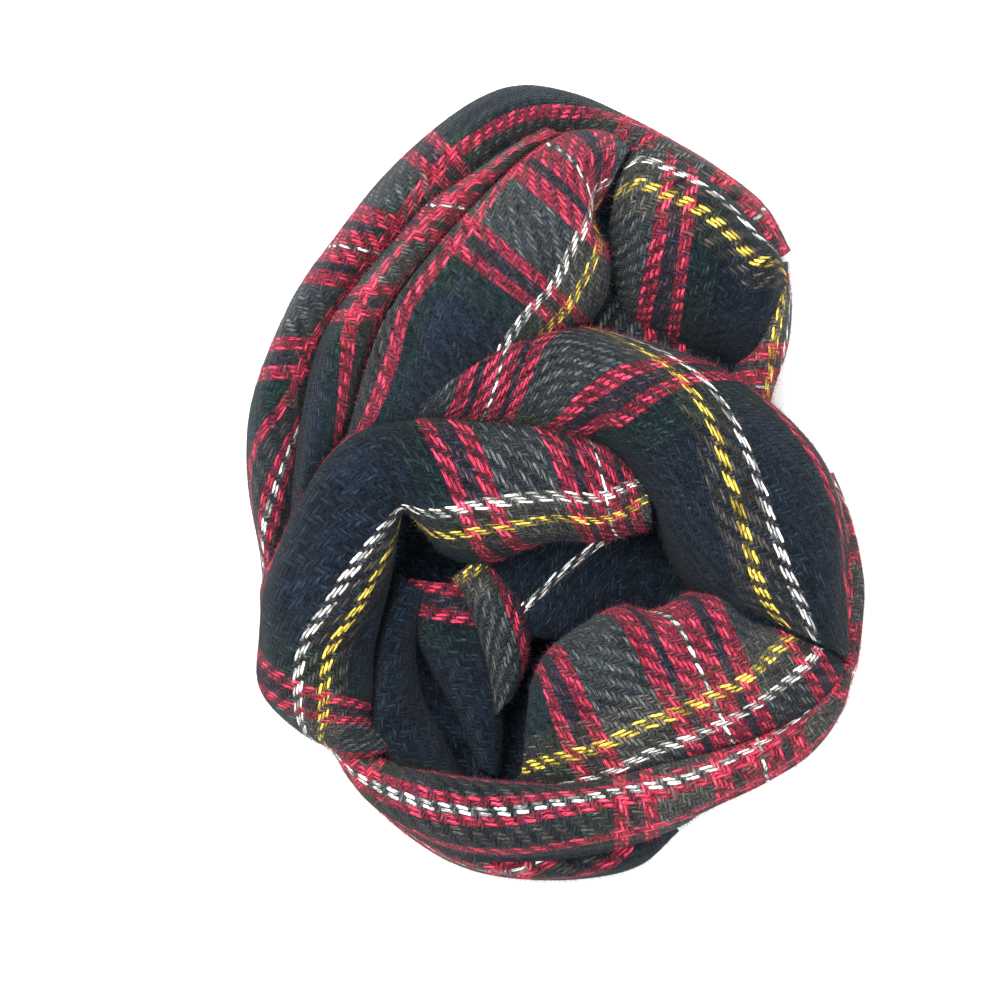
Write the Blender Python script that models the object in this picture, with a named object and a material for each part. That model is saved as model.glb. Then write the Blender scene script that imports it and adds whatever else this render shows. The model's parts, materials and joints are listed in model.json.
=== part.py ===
# Infinity scarf: one loop of woven cloth, doubled into two rings and dropped in a heap.
# The cloth that shows is a set of stretches, each a thin wall lofted over arched sections.
# The layers that nothing shows share one rounded solid, hidden_layers, which lies flat on
# its underside. Units are metres in the mesh; the tables below are in millimetres, with
# the origin at the middle of the underside, +X to the right, +Y to the back and +Z up.

import math

import bmesh
import bpy
import numpy as np

MM = 0.001

CLOTH = 2.4             # thickness of the cloth
GAP = 0.6               # clearance between two pieces that touch
CORE_GAP = 0.5          # clearance between the cloth and the layers beneath it
TUCK = 0.1              # share of its height by which cloth turns in at the surface
SOLE_DEPTH = 4.0        # depths below the surface to which the bodies reach before
FILLING_DEPTH = 5.0     # they are trimmed level, each a step deeper than the last
ROOM_DEPTH = 15.0
DEPTH_STEP = 0.37
TRIM_REACH = 300.0      # size of the body that trims them
SOLE_TOP = 13.0         # height of the lowest hidden layer
SOLE_INSET = 11.0       # how far that layer lies inside the outline of the heap
FULLNESS = 0.8          # below 1 the section is fuller than half an ellipse
LEAN_REACH = 0.4        # share of the width by which a full lean moves the crown
SEGMENTS = 6            # faces across a section

# Columns of each stretch, a row for each section from one end to the other:
# outer_x, outer_y, inner_x, inner_y  the two edges of the section in plan
# crown, outer_foot, inner_foot       heights of its top and of its two edges
# lean                                where the top lies, from -0.6 (outer) to 0.6 (inner)

COIL_ARCH = [
    (-102, 33, -101, 22, 58, 40, 40, 0.0),
    (-67, 52, -70, 28, 78, 45, 50, 0.0),
    (-32, 72, -37, 29, 92, 48, 55, 0.0),
    (3, 79, -2, 25, 100, 44, 55, 0.0),
    (38, 73, 29, 14, 105, 36, 50, 0.1),
    (75, 61, 46, -9, 109, 34, 40, 0.1),
    (108, 40, 56, -34, 110, 36, 28, 0.0),
    (134, 12, 68, -54, 108, 44, 24, 0.0),
    (146, -23, 80, -62, 104, 46, 30, 0.0),
    (147, -57, 92, -64, 98, 44, 50, 0.1),
    (148, -88, 103, -67, 84, 40, 62, 0.1),
]

COIL_SWEEP = [
    (47, -3, 48, -24, 74, 50, 42, 0.0),
    (25, 21, 22, -30, 88, 50, 42, 0.0),
    (-5, 30, -3, -30, 93, 50, 44, 0.0),
    (-37, 33, -36, -41, 94, 50, 42, 0.1),
    (-65, 35, -57, -35, 93, 50, 44, 0.1),
    (-91, 31, -74, -15, 92, 45, 68, 0.1),
    (-115, 15, -78, -26, 92, 40, 62, 0.1),
    (-133, -14, -82, -48, 90, 25, 50, 0.2),
    (-147, -46, -87, -68, 86, 18, 46, 0.2),
    (-153, -79, -91, -86, 80, 2, 44, 0.2),
    (-152, -105, -91, -106, 73, 2, 42, 0.2),
    (-133, -126, -92, -120, 64, 2, 38, 0.1),
    (-110, -138, -80, -131, 54, 2, 34, 0.0),
    (-103, -142, -80, -134, 44, 2, 30, 0.0),
]

COIL_FRONT = [
    (-115, -136, -96, -130, 36, 2, 20, 0.0),
    (-98, -158, -83, -141, 54, 24, 35, 0.2),
    (-77, -175, -63, -145, 66, 28, 44, 0.4),
    (-53, -188, -41, -148, 74, 30, 46, 0.5),
    (-27, -192, -19, -150, 78, 30, 46, 0.5),
    (0, -191, 3, -151, 80, 30, 48, 0.5),
    (29, -186, 28, -147, 80, 30, 48, 0.5),
    (57, -177, 52, -141, 79, 24, 48, 0.4),
    (81, -166, 76, -135, 78, 2, 48, 0.3),
    (107, -153, 100, -127, 77, 2, 48, 0.2),
    (130, -138, 121, -115, 75, 2, 44, 0.1),
    (147, -116, 130, -102, 68, 2, 40, 0.0),
    (153, -93, 134, -87, 56, 2, 36, 0.0),
]

INNER_PANEL = [
    (-17, -150, -13, -104, 58, 45, 30, 0.4),
    (2, -155, -4, -86, 66, 48, 30, 0.5),
    (25, -152, 15, -71, 74, 50, 28, 0.5),
    (47, -146, 33, -62, 80, 50, 24, 0.5),
    (67, -140, 50, -65, 80, 50, 24, 0.5),
    (85, -134, 67, -56, 86, 50, 28, 0.5),
    (103, -128, 83, -55, 88, 50, 34, 0.5),
    (121, -119, 98, -66, 84, 50, 40, 0.2),
    (136, -109, 116, -71, 80, 50, 46, 0.2),
    (146, -95, 135, -79, 68, 40, 48, 0.0),
]

BACK_INNER_FOLD = [
    (-111, 6, -81, 15, 62, 30, 40, 0.0),
    (-103, 35, -61, 29, 76, 40, 40, 0.0),
    (-95, 63, -40, 40, 87, 46, 40, 0.0),
    (-82, 91, -17, 55, 95, 50, 38, 0.0),
    (-65, 114, 2, 68, 100, 52, 36, 0.0),
    (-47, 135, 17, 80, 102, 54, 36, 0.0),
    (-28, 154, 26, 93, 101, 52, 36, 0.0),
    (-11, 168, 28, 110, 98, 48, 38, 0.0),
    (8, 176, 22, 121, 94, 44, 42, 0.0),
    (25, 177, 18, 129, 88, 40, 46, 0.0),
    (39, 169, 23, 140, 78, 36, 46, 0.0),
]

BACK_RIGHT_FOLD = [
    (33, 164, 26, 124, 72, 40, 40, 0.0),
    (43, 168, 31, 92, 84, 42, 26, -0.3),
    (56, 165, 41, 80, 91, 42, 22, -0.4),
    (72, 155, 58, 71, 95, 42, 20, -0.4),
    (88, 142, 72, 65, 94, 42, 20, -0.4),
    (103, 125, 84, 61, 90, 42, 20, -0.4),
    (113, 112, 90, 58, 84, 42, 20, -0.4),
    (117, 103, 94, 55, 74, 42, 20, -0.3),
]

BACK_RIGHT_SIDE = [
    (119, 112, 106, 104, 62, 2, 20, 0.0),
    (121, 92, 98, 86, 72, 2, 20, 0.0),
    (119, 70, 92, 66, 68, 2, 20, 0.0),
    (114, 50, 86, 48, 60, 2, 20, 0.0),
    (108, 30, 82, 28, 48, 14, 20, 0.0),
]

BACK_MIDDLE_FOLD = [
    (-137, -54, -120, -51, 36, 18, 20, 0.0),
    (-135, -24, -115, -16, 50, 20, 26, 0.0),
    (-132, 5, -108, 11, 62, 28, 34, 0.0),
    (-128, 31, -101, 35, 70, 32, 42, 0.0),
    (-123, 56, -95, 57, 75, 36, 48, 0.0),
    (-115, 77, -88, 78, 79, 38, 52, 0.0),
    (-102, 96, -76, 97, 82, 40, 54, 0.0),
    (-82, 118, -59, 117, 84, 42, 56, 0.0),
    (-65, 137, -42, 135, 85, 44, 58, 0.0),
    (-47, 150, -25, 153, 84, 46, 58, 0.0),
    (-28, 164, -9, 166, 80, 44, 56, 0.0),
    (-7, 178, 6, 171, 70, 40, 50, 0.0),
]

INNER_RIDGE = [
    (-52, -48, -37, -36, 52, 28, 28, 0.0),
    (-45, -60, -24, -49, 58, 30, 28, 0.0),
    (-39, -77, -15, -66, 59, 30, 26, 0.0),
    (-34, -97, -13, -87, 53, 28, 24, 0.0),
    (-32, -119, -20, -108, 42, 24, 24, 0.0),
]

INNER_LEFT_ROLL = [
    (-80, -46, -64, -56, 48, 28, 28, 0.0),
    (-88, -74, -70, -81, 52, 30, 26, -0.2),
    (-92, -104, -67, -107, 54, 30, 24, -0.3),
    (-92, -126, -56, -130, 53, 28, 22, -0.3),
    (-82, -144, -46, -149, 46, 24, 20, -0.2),
]

INNER_MIDDLE_ROLL = [
    (-74, -49, -42, -52, 44, 24, 24, 0.0),
    (-73, -71, -33, -78, 47, 24, 24, 0.0),
    (-62, -96, -29, -102, 44, 24, 24, 0.0),
    (-49, -119, -27, -123, 40, 22, 22, 0.0),
    (-38, -146, -27, -149, 34, 20, 20, 0.0),
]

PIT_CLOTH = [
    (-42, -26, -27, -69, 46, 36, 36, 0.0),
    (-12, -24, -7, -79, 43, 34, 32, 0.0),
    (17, -19, 17, -79, 36, 28, 26, 0.0),
    (47, -16, 42, -73, 27, 20, 20, 0.0),
    (75, -41, 70, -70, 22, 16, 16, 0.0),
]

BACK_OUTER_FOLD = [
    (-149, -75, -127, -70, 26, 2, 16, 0.0),
    (-151, -39, -131, -33, 40, 2, 20, 0.0),
    (-157, -9, -130, -3, 50, 2, 24, 0.0),
    (-159, 17, -127, 21, 56, 2, 28, 0.0),
    (-156, 43, -123, 46, 60, 2, 30, 0.0),
    (-146, 71, -114, 72, 63, 2, 32, 0.0),
    (-132, 99, -99, 95, 66, 2, 34, 0.0),
    (-114, 123, -79, 116, 68, 2, 36, 0.0),
    (-90, 153, -59, 135, 70, 2, 36, 0.0),
    (-64, 178, -38, 149, 72, 2, 38, 0.0),
    (-39, 196, -20, 162, 72, 2, 40, 0.0),
    (-17, 203, -3, 170, 70, 2, 40, 0.0),
    (10, 199, 12, 167, 66, 2, 38, 0.0),
    (36, 189, 26, 156, 62, 2, 34, 0.0),
    (62, 176, 44, 144, 60, 2, 30, 0.0),
    (86, 161, 65, 131, 58, 2, 28, 0.0),
    (109, 142, 84, 116, 54, 2, 24, 0.0),
    (122, 119, 98, 101, 46, 2, 20, 0.0),
]

RIGHT_UNDER_FOLD = [
    (144, 6, 118, -6, 42, 2, 20, 0.0),
    (154, -20, 124, -25, 52, 2, 20, 0.0),
    (159, -47, 128, -49, 56, 2, 20, 0.0),
    (158, -70, 128, -69, 55, 2, 20, 0.0),
    (156, -94, 126, -84, 48, 2, 20, 0.0),
    (148, -111, 124, -99, 38, 2, 20, 0.0),
]

FRONT_UNDER_FOLD = [
    (-101, -157, -80, -146, 26, 2, 14, 0.0),
    (-80, -178, -62, -158, 36, 2, 16, 0.0),
    (-54, -195, -40, -171, 42, 2, 16, 0.0),
    (-26, -203, -20, -177, 44, 2, 16, 0.0),
    (11, -204, 7, -177, 44, 2, 16, 0.0),
    (44, -197, 28, -170, 41, 2, 16, 0.0),
    (65, -179, 44, -158, 32, 2, 14, 0.0),
]

HOLLOW_CLOTH = [
    (7, 91, 17, 36, 46, 34, 34, 0.0),
    (32, 98, 42, 36, 42, 30, 30, 0.0),
    (60, 93, 67, 31, 40, 28, 28, 0.0),
    (90, 86, 95, 28, 42, 28, 28, 0.0),
]

# Stretches from the topmost down, with the sections lofted from each row to the next
# and the colour that shows most on it.
STRETCHES = [
    ("coil_arch", COIL_ARCH, 2, (0.030, 0.042, 0.080)),
    ("coil_sweep", COIL_SWEEP, 2, (0.026, 0.038, 0.072)),
    ("coil_front", COIL_FRONT, 1, (0.190, 0.030, 0.045)),
    ("inner_panel", INNER_PANEL, 1, (0.120, 0.040, 0.050)),
    ("back_inner_fold", BACK_INNER_FOLD, 1, (0.060, 0.062, 0.070)),
    ("back_right_fold", BACK_RIGHT_FOLD, 1, (0.040, 0.040, 0.052)),
    ("back_right_side", BACK_RIGHT_SIDE, 1, (0.110, 0.050, 0.030)),
    ("back_middle_fold", BACK_MIDDLE_FOLD, 1, (0.070, 0.075, 0.062)),
    ("inner_ridge", INNER_RIDGE, 1, (0.060, 0.030, 0.040)),
    ("inner_left_roll", INNER_LEFT_ROLL, 1, (0.018, 0.024, 0.048)),
    ("inner_middle_roll", INNER_MIDDLE_ROLL, 1, (0.012, 0.016, 0.034)),
    ("pit_cloth", PIT_CLOTH, 1, (0.010, 0.014, 0.030)),
    ("back_outer_fold", BACK_OUTER_FOLD, 1, (0.130, 0.050, 0.055)),
    ("right_under_fold", RIGHT_UNDER_FOLD, 1, (0.090, 0.035, 0.035)),
    ("front_under_fold", FRONT_UNDER_FOLD, 1, (0.050, 0.050, 0.060)),
    ("hollow_cloth", HOLLOW_CLOTH, 1, (0.012, 0.016, 0.030)),
]

CORE_NAME = "hidden_layers"
CORE_COLOUR = (0.020, 0.024, 0.040)

# Plan outline of the heap, clockwise from above: x, y.
HEAP_OUTLINE = [
    (107, 26), (136, 2), (151, -22), (157, -50), (155, -75), (149, -103),
    (128, -135), (104, -150), (79, -163), (55, -177), (39, -194), (11, -203),
    (-26, -202), (-54, -194), (-79, -177), (-98, -157), (-110, -140), (-132, -125),
    (-151, -105), (-152, -77), (-150, -40), (-155, -8), (-157, 17), (-155, 42),
    (-146, 70), (-132, 98), (-114, 123), (-90, 152), (-64, 177), (-39, 195),
    (-17, 201), (8, 196), (34, 185), (58, 171), (83, 156), (104, 137),
    (121, 112), (121, 91), (119, 70), (113, 48),
]


def clear_scene():
    for item in list(bpy.data.objects):
        bpy.data.objects.remove(item)


def between(rows, steps):
    """Sections on a Catmull-Rom curve through the rows, with steps from each to the next."""
    table = np.array(rows, float)
    before = np.vstack((2 * table[0] - table[1], table[:-1]))[:-1]
    after = np.vstack((table[1:], 2 * table[-1] - table[-2]))[1:]
    start, end = table[:-1], table[1:]
    parts = []
    for step in range(steps):
        t = step / steps
        parts.append(0.5 * (
            2 * start
            + (end - before) * t
            + (2 * before - 5 * start + 4 * end - after) * t ** 2
            + (3 * start - before - 3 * end + after) * t ** 3
        ))
    mixed = np.stack(parts, axis=1).reshape(-1, table.shape[1])
    return np.vstack((mixed, table[-1]))


def lengthened(sections, reach):
    """The same sections with both ends moved out by reach."""
    longer = sections.copy()
    for end, neighbour in ((0, 1), (-1, -2)):
        step = sections[end] - sections[neighbour]
        middle = (step[0:2] + step[2:4]) / 2
        longer[end] = sections[end] + step * reach / max(np.linalg.norm(middle), 1.0)
    return longer


def profile(section, offset):
    """Points over one arched section, from its outer edge to its inner edge.

    The section is half an ellipse made fuller, stands in the upright plane through both
    edges, and is moved out along its own normals by offset.
    """
    outer, inner = section[0:2], section[2:4]
    crown, outer_foot, inner_foot, lean = section[4:8]
    across = inner - outer
    width = np.linalg.norm(across)
    angle = np.linspace(0, math.pi, SEGMENTS + 1)
    share = (1 - np.cos(angle)) / 2 + LEAN_REACH * lean * np.sin(angle) ** 2
    foot = outer_foot + (inner_foot - outer_foot) * share
    rise = np.abs(np.sin(angle)) ** FULLNESS
    reaches_surface = max(0.0, 1 - outer_foot / SOLE_TOP)
    turned_in = TUCK * crown * reaches_surface * (1 - rise) ** 2 * (angle < math.pi / 2)
    line = np.stack((share * width + turned_in, foot + (crown - foot) * rise), axis=1)
    run = np.gradient(line, axis=0)
    run /= np.linalg.norm(run, axis=1, keepdims=True)
    line += offset * np.stack((-run[:, 1], run[:, 0]), axis=1)
    plan = outer + line[:, :1] * across / width
    return np.hstack((plan, line[:, 1:]))


def new_object(name, points, faces):
    mesh = bpy.data.meshes.new(name)
    mesh.from_pydata([tuple(p) for p in np.asarray(points) * MM], [], faces)
    work = bmesh.new()
    work.from_mesh(mesh)
    bmesh.ops.recalc_face_normals(work, faces=work.faces)
    bmesh.ops.triangulate(work, faces=work.faces)
    work.to_mesh(mesh)
    work.free()
    item = bpy.data.objects.new(name, mesh)
    bpy.context.collection.objects.link(item)
    return item


def loft(name, rings):
    """A closed solid through rings of equal length, capped at both ends."""
    count, size = len(rings), len(rings[0])
    faces = [tuple(range(size)), tuple(range((count - 1) * size, count * size))[::-1]]
    for ring in range(count - 1):
        for point in range(size):
            following = (point + 1) % size
            a, b = ring * size + point, ring * size + following
            faces.append((a, b, b + size, a + size))
    return new_object(name, np.vstack(rings), faces)


def inset(outline, distance):
    """A closed outline, clockwise, moved in along the normals at its points."""
    run = np.roll(outline, -1, axis=0) - np.roll(outline, 1, axis=0)
    run /= np.linalg.norm(run, axis=1, keepdims=True)
    return outline + distance * np.stack((run[:, 1], -run[:, 0]), axis=1)


def wall(name, sections, outside, inside):
    """A strip of cloth between two offsets of the arched sections."""
    rings = []
    for section in sections:
        skin = profile(section, outside)
        back = profile(section, inside)
        rings.append(np.vstack((skin, back[::-1])))
    return loft(name, rings)


def mound(name, sections, offset, depth):
    """A solid under the arched sections, down to depth below the surface it lies on."""
    rings = []
    for section in sections:
        arch = profile(section, offset)
        base = arch[[-1, 0]]
        base[:, 2] = -depth
        rings.append(np.vstack((arch, base)))
    return loft(name, rings)


def combine(item, other, operation):
    """Cuts item by other, or joins them, and deletes other."""
    cut = item.modifiers.new(operation, "BOOLEAN")
    cut.operation = operation
    cut.solver = "EXACT"
    cut.object = other
    bpy.context.view_layer.update()
    evaluated = item.evaluated_get(bpy.context.evaluated_depsgraph_get())
    result = bpy.data.meshes.new_from_object(evaluated)
    item.modifiers.clear()
    item.data = result
    bpy.data.objects.remove(other)


def keep_largest(item):
    """Drops the loose scraps that a cut leaves, and keeps the largest body."""
    work = bmesh.new()
    work.from_mesh(item.data)
    bmesh.ops.remove_doubles(work, verts=work.verts, dist=0.00001)
    bmesh.ops.dissolve_degenerate(work, edges=work.edges, dist=0.00001)
    bmesh.ops.triangulate(work, faces=work.faces)
    left = set(work.verts)
    bodies = []
    while left:
        body = set()
        edge_of_body = {left.pop()}
        while edge_of_body:
            body |= edge_of_body
            linked = {e.other_vert(v) for v in edge_of_body for e in v.link_edges}
            edge_of_body = linked - body
        left -= body
        bodies.append(body)
    bodies.sort(key=len)
    scraps = [vertex for body in bodies[:-1] for vertex in body]
    bmesh.ops.delete(work, geom=scraps, context="VERTS")
    work.to_mesh(item.data)
    work.free()


def overlap_in_plan(sections, others):
    """Whether the plan boxes of two stretches meet."""
    margin = CLOTH + GAP
    first = sections[:, 0:4].reshape(-1, 2)
    second = others[:, 0:4].reshape(-1, 2)
    apart = (first.min(0) > second.max(0) + margin) | (second.min(0) > first.max(0) + margin)
    return not apart.any()


def cloth_material(name, colour):
    material = bpy.data.materials.new(name)
    material.use_nodes = True
    shader = material.node_tree.nodes["Principled BSDF"]
    shader.inputs["Base Color"].default_value = (*colour, 1.0)
    shader.inputs["Roughness"].default_value = 0.95
    shader.inputs["Metallic"].default_value = 0.0
    return material


def finish(item, colour):
    keep_largest(item)
    item.data.materials.clear()
    item.data.materials.append(cloth_material(item.name + "_cloth", colour))
    item.data.shade_smooth()
    item.data.set_sharp_from_angle(angle=math.radians(50))


def cloth_walls(lofted):
    """Each stretch's wall, cut clear of every stretch that lies over it."""
    for place, (name, sections, colour) in enumerate(lofted):
        item = wall(name, sections, 0.0, -CLOTH)
        for upper_name, upper, _ in lofted[:place]:
            if overlap_in_plan(sections, upper):
                room = mound(upper_name + "_room", lengthened(upper, GAP), GAP, ROOM_DEPTH)
                combine(item, room, "DIFFERENCE")
        finish(item, colour)


def hidden_layers(lofted):
    """The layers that nothing shows, as one solid that backs every wall.

    It is built from the lowest stretch up: each stretch cuts its room out of what lies
    under it and adds its own filling, and the sole joins them all at the bottom.
    """
    core = None
    for place, (name, sections, _) in enumerate(reversed(lofted)):
        filling = mound(name + "_filling", sections, -CLOTH - CORE_GAP,
                        FILLING_DEPTH + place * DEPTH_STEP)
        if core is None:
            core = filling
            core.name = CORE_NAME
            continue
        room = mound(name + "_room", lengthened(sections, GAP), GAP, ROOM_DEPTH)
        combine(core, room, "DIFFERENCE")
        combine(core, filling, "UNION")
    outline = inset(np.array(HEAP_OUTLINE, float), SOLE_INSET)
    bottom = np.column_stack((outline, np.full(len(outline), -SOLE_DEPTH)))
    top = np.column_stack((outline, np.full(len(outline), SOLE_TOP)))
    combine(core, loft("sole", [bottom, top]), "UNION")
    corners = np.array([(-1, -1, 0), (1, -1, 0), (1, 1, 0), (-1, 1, 0)]) * TRIM_REACH
    combine(core, loft("underside", [corners - (0, 0, TRIM_REACH), corners]), "DIFFERENCE")
    finish(core, CORE_COLOUR)


def main():
    clear_scene()
    lofted = [(name, between(rows, steps), colour) for name, rows, steps, colour in STRETCHES]
    cloth_walls(lofted)
    hidden_layers(lofted)


main()
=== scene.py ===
# Infinity scarf of brushed twill: one loop of cloth, doubled into two rings and dropped
# in a heap. Every stretch that shows is a thin shell over arched sections, and carries
# the lay of its yarns as a UV map. The tables are in millimetres.

import json
import math

import bpy
import numpy as np
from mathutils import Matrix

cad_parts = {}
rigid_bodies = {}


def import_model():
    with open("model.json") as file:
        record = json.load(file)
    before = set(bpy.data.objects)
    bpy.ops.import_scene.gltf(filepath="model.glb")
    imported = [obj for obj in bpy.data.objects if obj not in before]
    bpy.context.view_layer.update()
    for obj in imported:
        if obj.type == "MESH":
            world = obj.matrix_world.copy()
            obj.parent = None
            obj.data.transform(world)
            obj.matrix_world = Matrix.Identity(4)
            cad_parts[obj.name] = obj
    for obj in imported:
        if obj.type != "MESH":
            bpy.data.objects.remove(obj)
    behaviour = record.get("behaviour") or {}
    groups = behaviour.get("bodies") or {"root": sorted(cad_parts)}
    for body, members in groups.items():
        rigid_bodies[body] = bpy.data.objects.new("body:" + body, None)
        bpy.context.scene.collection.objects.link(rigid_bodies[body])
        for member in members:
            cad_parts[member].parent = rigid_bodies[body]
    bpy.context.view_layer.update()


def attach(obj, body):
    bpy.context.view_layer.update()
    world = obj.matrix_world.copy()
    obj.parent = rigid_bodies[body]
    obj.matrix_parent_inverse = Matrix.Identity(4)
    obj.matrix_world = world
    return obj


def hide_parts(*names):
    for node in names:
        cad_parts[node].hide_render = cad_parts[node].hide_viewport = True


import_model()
print("frame loaded")

mm = 0.001


def makeCamera():
    view = {"above": (-0.0275, -0.009), "height": 2.2, "lens": 154.4, "sensor": 36.0, "far": 20.0}
    data = bpy.data.cameras.new("camera")
    data.lens = view["lens"]
    data.sensor_width = view["sensor"]
    data.clip_end = view["far"]
    camera = bpy.data.objects.new("camera", data)
    camera.location = (*view["above"], view["height"])
    bpy.context.collection.objects.link(camera)
    bpy.context.scene.camera = camera


def makeLights():
    lights = {
        # name: (place, turn in degrees, size, watts, colour)
        "keyLight": ((-0.7, 0.8, 2.0), (29, 0, 221), 1.4, 128.0, (1.0, 0.99, 0.97)),
        "fillLight": ((0.9, -0.7, 2.1), (28, 0, 52), 1.7, 46.0, (0.98, 0.99, 1.0)),
    }
    sky = {"colour": (1.0, 1.0, 1.0, 1.0), "strength": 1.0}
    for name, (place, turn, size, watts, colour) in lights.items():
        data = bpy.data.lights.new(name, "AREA")
        data.shape = "SQUARE"
        data.size = size
        data.energy = watts
        data.color = colour
        light = bpy.data.objects.new(name, data)
        light.location = place
        light.rotation_euler = [math.radians(angle) for angle in turn]
        bpy.context.collection.objects.link(light)
    world = bpy.data.worlds.new("studio")
    world.use_nodes = True
    background = world.node_tree.nodes["Background"]
    background.inputs["Color"].default_value = sky["colour"]
    background.inputs["Strength"].default_value = sky["strength"]
    bpy.context.scene.world = world
    bpy.context.scene.view_settings.view_transform = "Standard"


def makeFloor():
    floor = {"half": 3.0, "colour": (0.90, 0.90, 0.89), "roughness": 0.7}
    reach = floor["half"]
    mesh = bpy.data.meshes.new("floor")
    corners = [(-reach, -reach, 0), (reach, -reach, 0), (reach, reach, 0), (-reach, reach, 0)]
    mesh.from_pydata(corners, [], [(0, 1, 2, 3)])
    item = bpy.data.objects.new("floor", mesh)
    bpy.context.collection.objects.link(item)
    material = bpy.data.materials.new("floorPaint")
    material.use_nodes = True
    shader = material.node_tree.nodes["Principled BSDF"]
    shader.inputs["Base Color"].default_value = (*floor["colour"], 1.0)
    shader.inputs["Roughness"].default_value = floor["roughness"]
    mesh.materials.append(material)


makeCamera()
makeLights()
makeFloor()
print("camera, lights and floor made")


class Wire:
    # Wraps one output socket. A sum, a product or a comparison of wires adds its Math node.

    def __init__(self, graph, socket):
        self.graph = graph
        self.socket = socket

    def maths(self, operation, *values):
        return self.graph.node("ShaderNodeMath", {"operation": operation}, values)

    def __add__(self, other):
        return self.maths("ADD", self, other)

    __radd__ = __add__

    def __sub__(self, other):
        return self.maths("SUBTRACT", self, other)

    def __rsub__(self, other):
        return self.maths("SUBTRACT", other, self)

    def __mul__(self, other):
        return self.maths("MULTIPLY", self, other)

    __rmul__ = __mul__

    def __truediv__(self, other):
        return self.maths("DIVIDE", self, other)

    def __pow__(self, other):
        return self.maths("POWER", self, other)

    def __mod__(self, other):
        return self.maths("FLOORED_MODULO", self, other)

    def __gt__(self, other):
        return self.maths("GREATER_THAN", self, other)

    def floor(self):
        return self.maths("FLOOR", self)

    def fract(self):
        return self.maths("FRACT", self)

    def pingpong(self, top):
        return self.maths("PINGPONG", self, top)

    def atLeast(self, low):
        return self.maths("MAXIMUM", self, low)

    def atMost(self, high):
        return self.maths("MINIMUM", self, high)


class Graph:
    # Adds nodes to one material: settings first, then the values or links of sockets.

    def __init__(self, material):
        self.tree = material.node_tree

    def node(self, kind, settings=None, inputs=(), output=0):
        made = self.tree.nodes.new(kind)
        for name, value in (settings or {}).items():
            if name == "stops":
                self.setStops(made.color_ramp, value)
            else:
                setattr(made, name, value)
        named = inputs.items() if isinstance(inputs, dict) else enumerate(inputs)
        for key, value in named:
            if isinstance(value, Wire):
                self.tree.links.new(value.socket, made.inputs[key])
            else:
                made.inputs[key].default_value = value
        return Wire(self, made.outputs[output])

    def setStops(self, ramp, stops):
        ramp.interpolation = "CONSTANT"
        while len(ramp.elements) < len(stops):
            ramp.elements.new(1.0)
        for element, (place, colour) in zip(ramp.elements, stops):
            element.position = place
            element.color = (*colour, 1.0)

    def parts(self, vector):
        return [self.node("ShaderNodeSeparateXYZ", {}, (vector,), axis) for axis in range(3)]

    def blend(self, share, first, second, how="MIX"):
        # a Mix node's colours are its inputs 6 and 7, and its output 2
        settings = {"data_type": "RGBA", "blend_type": how}
        return self.node("ShaderNodeMix", settings, {0: share, 6: first, 7: second}, 2)

    def shaded(self, colour, value):
        grey = self.node("ShaderNodeCombineColor", {}, (value, value, value))
        return self.blend(1.0, colour, grey, "MULTIPLY")

    def redOf(self, colour):
        return self.node("ShaderNodeSeparateColor", {}, (colour,), "Red")

    def chance(self, first, second):
        # a steady random number for each pair of whole numbers
        pair = self.node("ShaderNodeCombineXYZ", {}, (first, second, 0.0))
        settings = {"noise_dimensions": "2D"}
        return self.node("ShaderNodeTexWhiteNoise", settings, {"Vector": pair})

    def noise(self, place, scale, detail, output=0):
        # mostly between 0.3 and 0.7
        inputs = {"Vector": place, "Scale": scale, "Detail": detail}
        return self.node("ShaderNodeTexNoise", {}, inputs, output)

    def strands(self, first, second):
        place = self.node("ShaderNodeCombineXYZ", {}, (first, second, 0.0))
        inputs = {"Vector": place, "Scale": 1.0, "Detail": 2.0}
        return self.node("ShaderNodeTexNoise", {"noise_dimensions": "2D"}, inputs)


yarnDyes = {
    "white": (0.74, 0.73, 0.70),
    "yellow": (0.72, 0.52, 0.07),
    "red": (0.66, 0.045, 0.095),
    "taupe": (0.058, 0.053, 0.045),
    "greyGreen": (0.088, 0.094, 0.092),
    "grey": (0.055, 0.030, 0.042),
    "green": (0.009, 0.022, 0.020),
    "navy": (0.007, 0.013, 0.023),
}

# The loose fibre over each yarn is darker than the yarn, and has its neighbours' mixed in.
brushedDyes = {
    "white": (0.045, 0.043, 0.040),
    "yellow": (0.070, 0.050, 0.030),
    "red": (0.280, 0.025, 0.050),
    "taupe": (0.029, 0.028, 0.025),
    "greyGreen": (0.044, 0.049, 0.049),
    "grey": (0.030, 0.020, 0.028),
    "green": (0.009, 0.022, 0.020),
    "navy": (0.007, 0.013, 0.023),
}

# The yarns that run along the scarf, from the middle of the white pair to the middle of
# the wide navy band, and then back again in mirror image.
alongSett = [
    ("white", 1), ("red", 2), ("taupe", 5), ("red", 3), ("green", 3), ("navy", 14),
    ("white", 3), ("taupe", 4), ("yellow", 3), ("taupe", 5), ("navy", 16),
]

# The yarns that run across it, from the middle of the single white yarn.
acrossSett = [
    ("white", 1), ("red", 4), ("grey", 2), ("red", 4), ("greyGreen", 12), ("red", 3),
    ("grey", 3), ("red", 3), ("green", 7), ("navy", 20),
]

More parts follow.
